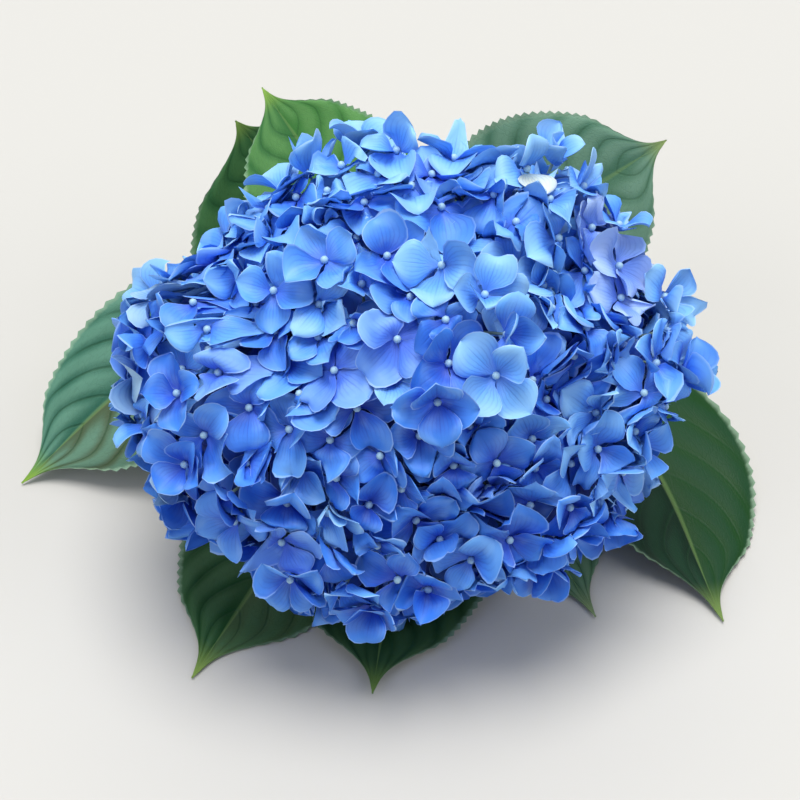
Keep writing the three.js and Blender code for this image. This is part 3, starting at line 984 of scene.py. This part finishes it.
# Side veins sweep forward from the midrib and bend. A leaf has two more than it counts, which are
# short ones at its base and its tip
VEIN_SWEEP = 0.2
VEIN_BEND = 0.09
END_VEINS = 2


def vein_phase(leaf, along, side):
    """A number that grows by 1 from each side vein of a leaf to the next."""
    return (along - VEIN_SWEEP * side - VEIN_BEND * side * side) * (leaf["lateral"] + END_VEINS)


def leaf_material(leaf):
    """Veins run from the midrib to the rim and bend forward, with a net of fine veins between them. Painted
    shade darkens the veins and painted light lightens the bulges between them.
    """
    recipe = Recipe("leaf_" + leaf["name"], 0.42, Specular_IOR_Level=0.16)
    u, along = recipe.own_map()
    underside = u.over(0.5)
    across = (u - LEAF_MAP_MIDDLE - LEAF_MAP_UNDER * underside) / LEAF_MAP_HALF
    side = abs(across)
    place = recipe.combined(u * 2.0, along)
    mottle = recipe.noise(place, 5.0, 4.0)
    off_vein = abs(vein_phase(leaf, along + 0.012 * mottle, side).fraction() - 0.5) * 2
    vein = off_vein.eased(0.84, 0.99) * (1 - side.eased(0.75, 1.0))
    midrib = 1 - side.eased(0.012, 0.045)
    cells = recipe.node("ShaderNodeTexVoronoi", {"feature": "DISTANCE_TO_EDGE"}, Vector=place, Scale=46.0)
    net = 1 - Reading(recipe, cells.outputs["Distance"]).eased(0.0, 0.09)
    panel = (1 - off_vein.eased(0.25, 0.95)) * side.eased(0.02, 0.3)
    sides = recipe.mix(across.over(0.0), colour(leaf["tints"][0]), colour(leaf["tints"][1]))
    tone = marked(recipe, sides, mottle.eased(0.35, 0.75), (leaf["mottle_and_lit_bulge"], 0.35))
    # Painted light on the raised bulges between the veins
    tone = marked(recipe, tone, panel, (leaf["mottle_and_lit_bulge"], 0.5))
    tone = marked(recipe, tone, net, LEAF_MARKS["net"])
    # Painted shade in the vein grooves, darker where the leaf's relief is deeper
    tone = marked(recipe, tone, vein, (VEIN_GROOVE_SHADE, 0.15 + 0.35 * leaf["relief"]))
    tone = marked(recipe, tone, midrib, LEAF_MARKS["midrib"])
    tone = marked(recipe, tone, side.eased(0.94, 1.0), LEAF_MARKS["rim"])
    tone = marked(recipe, tone, along.eased(0.88, 1.0), (leaf["tip_tint"], 0.9))
    tone = marked(recipe, tone, underside, LEAF_MARKS["underside"])
    recipe.paint(tone)
    recipe.vary_roughness(0.4 + 0.2 * mottle)
    recipe.bump((panel - vein) * (0.6 * leaf["relief"]) - net * 0.1, 0.45, 0.0008)
    return recipe.material


def petiole_material():
    """The leaf stalks' mottled light green."""
    recipe = Recipe("petiole", 0.45)
    tint = recipe.noise(recipe.place(), 180.0).eased(0.3, 0.7)
    recipe.paint(recipe.mix(tint, colour("7c9450"), colour("a3b070")))
    return recipe.material


# The bloom's pieces

def shade_of(seat, dealt):
    """Deals a floret its shade, with painted light: lighter up the face and at the rim, painted shade in
    the lower layer, and the odd pale one.
    """
    right, up, _ = seat["centre"]
    # The lower layer of florets: painted light above the lit height and painted shade below it
    if is_under(seat):
        return "azure" if up > LIT_FROM else "shadow"
    chance = dealt.random()
    if math.dist((right, up), LAVENDER_PLACE) < LAVENDER_REACH and chance < LAVENDER_CHANCE:
        return "lavender"
    if right < -WASHED_BEYOND and abs(up) < WASHED_WITHIN and chance < WASHED_CHANCE:
        return "washed"
    if dealt.random() < PERIWINKLE_CHANCE:
        return "periwinkle"
    # Painted light and shade by place on the bloom, with random tone from the spread
    lightness = MIDDLE_LIGHTNESS + LIGHTER_UP * up / BLOOM_HALF_HEIGHT
    lightness += dealt.normal(0, LIGHTNESS_SPREAD)
    lightness += LIGHTER_AT_RIM * (math.hypot(right, up) / BLOOM_HALF_WIDTH - RIM_FROM)
    lightness += LIGHTER_RIGHT * right / BLOOM_HALF_WIDTH
    return LADDER[int(np.clip(lightness * len(LADDER), 0, len(LADDER) - 1))]


def sepals(seats):
    """All the sepals, one piece to each shade. Each sepal lies on one quarter of its piece's map."""
    row, column, blank_faces = sheet_blank(SEPAL_COLUMNS, SEPAL_ROWS)
    map_points = np.column_stack([SEPAL_ACROSS[column] / 2 + 0.5, SEPAL_ALONG[row]])
    map_points = SEPAL_MAP_MARGIN + (1 - 2 * SEPAL_MAP_MARGIN) * map_points
    blank_map = np.concatenate([map_points[face] for face in blank_faces]) / 2
    dealt = np.random.default_rng(SHADE_SEED)
    by_shade = {}
    cream = min(seats, key=lambda seat: math.dist(seat["centre"][:2], CREAM_PLACE) + seat["depth"])
    cream_sepal = cream["sepals"].pop(1)
    for seat in seats:
        by_shade.setdefault(shade_of(seat, dealt), []).extend(seat["sepals"])
    by_shade["cream"] = [cream_sepal]
    for name, surfaces in by_shade.items():
        world = from_bloom(np.array(surfaces)[:, row, column])
        world[..., 2] = np.maximum(world[..., 2], SEPAL_FLOOR)
        faces = copies_of(blank_faces, len(row), len(surfaces))
        quarters = dealt.integers(0, 2, (len(surfaces), 1, 2)) / 2
        uvs = (blank_map + quarters).reshape(-1, 2)
        make_piece("sepals_" + name, world.reshape(-1, 3), faces,
                   [sepal_material(name, SHADES[name])], ["bloom"], uvs)


def beads(seats):
    """The pale bead in the middle of every floret."""
    blank_points, blank_faces = ball_blank(BEAD_SEGMENTS, BEAD_RINGS)
    points = []
    for seat in seats:
        axes = np.array([*square_ways(seat["facing"], FLORET_REFERENCE), seat["facing"]])
        centre = seat["centre"] + seat["facing"] * BEAD_RADIUS * BEAD_LIFT
        points.append(centre + blank_points * BEAD_RADIUS @ axes)
    world = from_bloom(np.concatenate(points))
    faces = copies_of(blank_faces, len(blank_points), len(seats))
    make_piece("beads", world, faces, [plain_material("bead", "a8cfe4", 0.4)], ["bloom"])


def tubes(name, paths, sides, steps, material, slot, nodes):
    """Tubes along paths that turn shares from 0 to 1 into points, each with its two end radii."""
    blank_points, blank_faces = tube_blank(sides, steps)
    shares = np.linspace(0, 1, steps + 1)
    ring = np.rint(blank_points[:, 2]).astype(int)
    turn = np.arctan2(blank_points[:, 1], blank_points[:, 0])
    points = []
    for path, radii in paths:
        line = path(shares)
        tangents = unit(np.gradient(line, axis=0))
        level, level_too = square_ways(tangents, STALK_REFERENCE)
        radius = mixed(radii[0], radii[1], shares)[ring, None]
        points.append(line[ring] + radius * (np.cos(turn)[:, None] * level[ring]
                                             + np.sin(turn)[:, None] * level_too[ring]))
    faces = copies_of(blank_faces, len(blank_points), len(paths))
    make_piece(name, np.concatenate(points), faces, [material], nodes, smooth_angle=50)


def bowed(start, end, bow):
    """A path between places in the bloom's own frame, bent out at its middle by half the bow."""
    middle = (start + end) / 2 + bow

    def path(shares):
        share = shares[:, None]
        line = (1 - share) ** 2 * start + 2 * share * (1 - share) * middle + share ** 2 * end
        return from_bloom(line)

    return path


def flower_stalks(seats):
    """The hub's branches, their branchlets and a stalk to each floret, as in the part."""
    branches, branchlets, pedicels = [], [], []
    rim = math.hypot(BLOOM_HALF_WIDTH, HUB_DEPTH)
    for lobe, direction in zip(LOBES, LOBE_DIRECTIONS):
        lean = math.sin(math.radians(lobe["polar"]))
        length = mixed(BLOOM_FRONT + HUB_DEPTH, rim, lean) * lobe["reach"]
        fork = HUB + direction * length * BRANCH_SHARE
        branches.append((bowed(HUB, fork, np.array([0, 0, BRANCH_BOW])), BRANCH_RADII))
        leaned = polar_direction(lobe["polar"] + BRANCHLET_SPREAD, lobe["azimuth"])
        angles = [i * 2 * math.pi / BRANCHLETS for i in range(BRANCHLETS)]
        turns = [Matrix.Rotation(angle, 3, Vector(direction)) for angle in angles]
        ways = [direction] + [np.array(turn @ Vector(leaned)) for turn in turns]
        for i, way in enumerate(ways):
            foot = mixed(fork, HUB, BRANCHLET_STAGGER * i)
            tip = HUB + way * length * BRANCHLET_SHARE
            branchlets.append({"foot": foot, "tip": tip, "florets": 0})
    for seat in seats:
        nearest = min(branchlets, key=lambda b: np.linalg.norm(b["tip"] - seat["centre"]))
        foot = mixed(nearest["tip"], nearest["foot"], PEDICEL_STAGGER * nearest["florets"])
        nearest["florets"] += 1
        end = seat["centre"] - seat["facing"] * PEDICEL_GAP
        bow = seat["facing"] * -PEDICEL_BOW * np.linalg.norm(end - foot)
        pedicels.append((bowed(foot, end, bow), PEDICEL_RADII))
    material = plain_material("flower_stalk", "84a08e", 0.55)
    straight = [(bowed(b["foot"], b["tip"], np.zeros(3)), BRANCHLET_RADII) for b in branchlets]
    tubes("branches", branches, *BRANCH_GRID, material, "stem", ["bloom"])
    tubes("branchlets", straight, *BRANCHLET_GRID, material, "stem", ["bloom"])
    tubes("floret_stalks", pedicels, *PEDICEL_GRID, material, "stem", ["bloom"])
    blank_points, blank_faces = ball_blank(HUB_SEGMENTS, HUB_RINGS)
    world = from_bloom(blank_points * HUB_RADIUS + HUB)
    make_piece("hub", world, blank_faces, [material], ["bloom"])


# The stem

def stem_map(blank_points, blank_faces, turn):
    """Flat faces lie on the map as they are, and the sides are wrapped round it."""
    uvs = []
    for face in blank_faces:
        if np.ptp(blank_points[face, 2]) < HALF_RING:
            uvs += [(0.5 + STEM_MAP_HALF * x, 0.5 + STEM_MAP_HALF * y) for x, y in blank_points[face, :2]]
            continue
        around = turn[face] / (2 * math.pi) + 0.5
        if np.ptp(around) > 0.5:
            around = np.where(around < 0.5, around + 1, around)
        around = around - math.floor(around.mean())
        uvs += list(zip(around, blank_points[face, 2] / STEM_RINGS))
    return uvs


def stem_piece():
    """A ridged green stem, swollen and scarred at each node, with wood and pith on its cut face."""
    blank_points, blank_faces = tube_blank(STEM_SIDES, STEM_RINGS, CUT_INSETS)
    distance = mixed(HUB_RADIUS * STEM_IN_HUB, STEM_LENGTH, blank_points[:, 2] / STEM_RINGS)
    turn = np.arctan2(blank_points[:, 1], blank_points[:, 0])
    reach = np.hypot(blank_points[:, 0], blank_points[:, 1])
    ridges = sum(ridge["height"] * np.cos(ridge["count"] * turn + distance * ridge["wind"])
                 for ridge in RIDGES)
    off_scars = [(distance - node - SCAR_OFFSET) / SCAR_LENGTH for node in NODE_DISTANCES]
    scars = sum(np.exp(-off_scar ** 2) for off_scar in off_scars)
    before_cut = distance < STEM_LENGTH - CUT_EDGE
    radius = stem_radius(distance) + (ridges - SCAR_DEPTH * scars) * before_cut
    line = stem_point(distance)
    tangent = unit(stem_point(distance + STEM_STEP) - stem_point(distance - STEM_STEP))
    tangent[distance > STEM_LENGTH - STEM_STEP - CUT_EDGE] = stem_direction(STEM_LENGTH)
    sideways = np.array([1.0, 0, 0])
    over_top = np.cross(tangent, sideways)
    world = line + (radius * reach)[:, None] * (
        np.cos(turn)[:, None] * sideways + np.sin(turn)[:, None] * over_top)
    rings = [max(reach[face]) for face in blank_faces]
    ends = [blank_points[face, 2].min() > STEM_RINGS - HALF_RING for face in blank_faces]
    piece = make_piece("green_stem", world, blank_faces, [
        stem_material(),
        cut_material("cut_wood", "b9c58f", "d6d8ae"),
        cut_material("cut_pith", "e6e4cf", "f4f1e4"),
    ], ["stem"], stem_map(blank_points, blank_faces, turn), smooth_angle=45)
    for face, ring, end in zip(piece.data.polygons, rings, ends):
        if end:
            face.material_index = 0 if ring > RIND_REACH else 1 if ring > WOOD_REACH else 2


# The leaves

MIDRIB_POINTS = 101


def midrib_curve(points):
    """Points at shares of the length of the centripetal curve through the points, and that length."""
    points = [np.asarray(p, float) for p in points]
    ends = [2 * points[0] - points[1], *points, 2 * points[-1] - points[-2]]
    fine = []
    for p0, p1, p2, p3 in zip(ends, ends[1:], ends[2:], ends[3:]):
        d0, d1, d2 = (np.linalg.norm(b - a) ** 0.5 for a, b in ((p0, p1), (p1, p2), (p2, p3)))
        t1 = ((p1 - p0) / d0 - (p2 - p0) / (d0 + d1) + (p2 - p1) / d1) * d1
        t2 = ((p2 - p1) / d1 - (p3 - p1) / (d1 + d2) + (p3 - p2) / d2) * d1
        share = np.linspace(0, 1, MIDRIB_POINTS)[:, None]
        fine.append(p1 + t1 * share + (-3 * p1 + 3 * p2 - 2 * t1 - t2) * share ** 2
                    + (2 * p1 - 2 * p2 + t1 + t2) * share ** 3)
    fine = np.concatenate([fine[0], *[part[1:] for part in fine[1:]]])
    reached = np.concatenate([[0], np.cumsum(np.linalg.norm(np.diff(fine, axis=0), axis=1))])

    def at(shares):
        wanted = np.asarray(shares) * reached[-1]
        return np.stack([np.interp(wanted, reached, fine[:, axis]) for axis in range(3)], -1)

    return at, reached[-1]


def midrib_of(leaf):
    """A leaf's midrib from its node: out along the stalk, over its crest and on to its tip."""
    distance = NODE_DISTANCES[leaf["node"]]
    over_top = np.cross([1, 0, 0], stem_direction(distance))
    over_top *= np.sign(over_top[2])
    roll = math.radians(leaf["roll"])
    outward = np.array([math.cos(roll), 0, 0]) + over_top * math.sin(roll)
    start = stem_point(distance) + outward * stem_radius(distance) * PETIOLE_ROOT
    knee = start + outward * PETIOLE_LENGTH * PETIOLE_KNEE
    return midrib_curve([start, knee, np.array(leaf["crest"]) + SHIFT, np.array(leaf["tip"]) + SHIFT])


def blade_half_width(leaf, share):
    """A broad oval, narrowed to a drawn-out tip."""
    oval = np.sin(np.pi * share ** OVAL_LEAN).clip(0) ** OVAL_FULLNESS
    point = 1 - TIP_NARROWING * eased(share, *TIP_SPAN)
    return np.maximum(LEAST_HALF_WIDTH, leaf["width"] / 2 * oval * point)


def leaf_surface(leaf, at, length):
    """The blade's middle surface: quilted between its veins, waved and toothed at its rim."""
    across, share = np.meshgrid(np.linspace(-1, 1, LEAF_COLUMNS + 1), np.linspace(0, 1, LEAF_ROWS + 1))
    base = PETIOLE_LENGTH / length
    shares = base + (1 - base) * share[:, 0]
    line = at(shares)
    tangent = unit(np.gradient(line, axis=0))
    crossing = unit(np.cross(tangent, leaf["facing"]))
    outward = np.cross(crossing, tangent)
    half_width = blade_half_width(leaf, share) * np.where(across < 0, *leaf["sides"])
    side = np.abs(across)
    fading = half_width / half_width.max()
    saw = np.arange(LEAF_ROWS + 1) % ROWS_PER_TOOTH / (ROWS_PER_TOOTH - 1)
    tooth = TOOTH_LENGTH * saw[:, None] * eased(fading, *TEETH_FADE)
    reach = across * half_width + np.sign(across) * tooth * (side > 1 - NEAR)
    off_vein = np.abs(vein_phase(leaf, share, side) % 1 - 0.5) * 2
    panel = (1 - off_vein ** 2) * eased(side, *QUILT_RISE) * (1 - eased(side, *QUILT_FADE))
    groove = np.exp(-(side / GROOVE_WIDTH) ** 2)
    wave = np.sin(share * WAVE_TURNING + np.sign(across)) * side ** 3
    rim = np.exp(-((1 - side) / RIM_WIDTH) ** 2)
    quilt = leaf["relief"] * (QUILT_HEIGHT * panel - GROOVE_DEPTH * groove)
    lift = leaf["fold"] * side * half_width + fading * (quilt + WAVE_HEIGHT * wave - RIM_DROP * rim)
    surface = line[:, None] + crossing[:, None] * reach[..., None] + outward[:, None] * lift[..., None]
    surface[..., 2] = np.maximum(surface[..., 2], BLADE_THICKNESS * BLADE_FLOOR)
    return surface


def thickened(surface, blank_points):
    """A closed body round a middle surface, thin at its rim."""
    along = np.gradient(surface, axis=0)
    across = np.gradient(surface, axis=1)
    normals = unit(np.cross(across, along))
    row, column = grid_places(blank_points, LEAF_COLUMNS, LEAF_ROWS)
    return surface[row, column] + normals[row, column] * blank_points[:, 2:] * BLADE_THICKNESS / 2


def leaf_piece(leaf, blade_blank, stalk_material):
    """A leaf's blade and its stalk, which runs on a little way under the blade."""
    blank_points, blank_faces = blade_blank
    at, length = midrib_of(leaf)
    points = thickened(leaf_surface(leaf, at, length), blank_points)
    uvs = []
    for face in blank_faces:
        middle = LEAF_MAP_MIDDLE + (LEAF_MAP_UNDER if blank_points[face, 2].sum() < 0 else 0)
        uvs += [(middle + LEAF_MAP_HALF * x, (y + 1) / 2) for x, y in blank_points[face, :2]]
    node = "leaf_" + leaf["name"]
    make_piece("blade_" + leaf["name"], points, blank_faces, [leaf_material(leaf)], [node], uvs,
               smooth_angle=60)
    stalk_share = (PETIOLE_LENGTH + PETIOLE_OVERLAP) / length
    stalk = (lambda shares: at(shares * stalk_share), PETIOLE_RADII)
    tubes("petiole_" + leaf["name"], [stalk], *PETIOLE_GRID, stalk_material, "leaf", [node])


# Stage, lights and camera

def floor():
    clear_selection()
    bpy.ops.mesh.primitive_plane_add(size=FLOOR_SIDE)
    plane = active_object()
    plane.name = "floor"
    recipe = Recipe("pale_floor", 0.85)
    recipe.paint(colour(FLOOR_COLOUR))
    plane.data.materials.append(recipe.material)


def soft_sun(name, around, height, spread, strength, tint):
    """A sun as wide as a studio's soft box, so that the whole floor is lit alike."""
    azimuth, elevation = math.radians(around), math.radians(height)
    away = Vector((
        math.sin(azimuth) * math.cos(elevation),
        -math.cos(azimuth) * math.cos(elevation),
        math.sin(elevation),
    ))
    lamp = bpy.data.lights.new(name, "SUN")
    lamp.energy = strength
    lamp.angle = math.radians(spread)
    lamp.color = tint
    holder = bpy.data.objects.new(name, lamp)
    holder.rotation_euler = away.to_track_quat("Z", "Y").to_euler()
    bpy.context.scene.collection.objects.link(holder)


def lights():
    for light in LIGHTS:
        soft_sun(*light)
    world = bpy.data.worlds.new("studio")
    world.use_nodes = True
    background = world.node_tree.nodes["Background"]
    background.inputs["Color"].default_value = WORLD_COLOUR
    background.inputs["Strength"].default_value = WORLD_STRENGTH
    bpy.context.scene.world = world


def camera():
    """The photograph's camera, aimed so that the bloom's heart falls on its pixel."""
    elevation = math.radians(CAMERA_ELEVATION)
    toward = np.array([0, -math.cos(elevation), math.sin(elevation)])
    upward = np.array([0, math.sin(elevation), math.cos(elevation)])
    pixel = CAMERA_DISTANCE * CAMERA_SENSOR / CAMERA_LENS / PICTURE_SIDE
    right_by = (HEART_PIXEL[0] - PICTURE_SIDE / 2) * pixel
    up_by = (PICTURE_SIDE / 2 - HEART_PIXEL[1]) * pixel
    aim = HEART - np.array([1, 0, 0]) * right_by - upward * up_by
    data = bpy.data.cameras.new("photo_camera")
    data.lens = CAMERA_LENS
    data.sensor_width = CAMERA_SENSOR
    data.clip_start = 0.01
    holder = bpy.data.objects.new("photo_camera", data)
    holder.location = Vector((aim + toward * CAMERA_DISTANCE) * MM)
    holder.rotation_euler = Vector(toward).to_track_quat("Z", "Y").to_euler()
    bpy.context.scene.collection.objects.link(holder)
    bpy.context.scene.camera = holder
    bpy.context.scene.view_settings.view_transform = "Standard"


camera()
lights()
floor()
seats = floret_seats(FLORET_COUNT, FLORET_DEPTHS, SEAT_SEED)
seats += floret_seats(UNDER_FLORETS, UNDER_DEPTHS, UNDER_SEAT_SEED)
lay_sepals(seats)
sepals(seats)
beads(seats)
flower_stalks(seats)
stem_piece()
blade_blank = lens_blank(LEAF_COLUMNS, LEAF_ROWS)
petiole_green = petiole_material()
for leaf in LEAVES:
    leaf_piece(leaf, blade_blank, petiole_green)
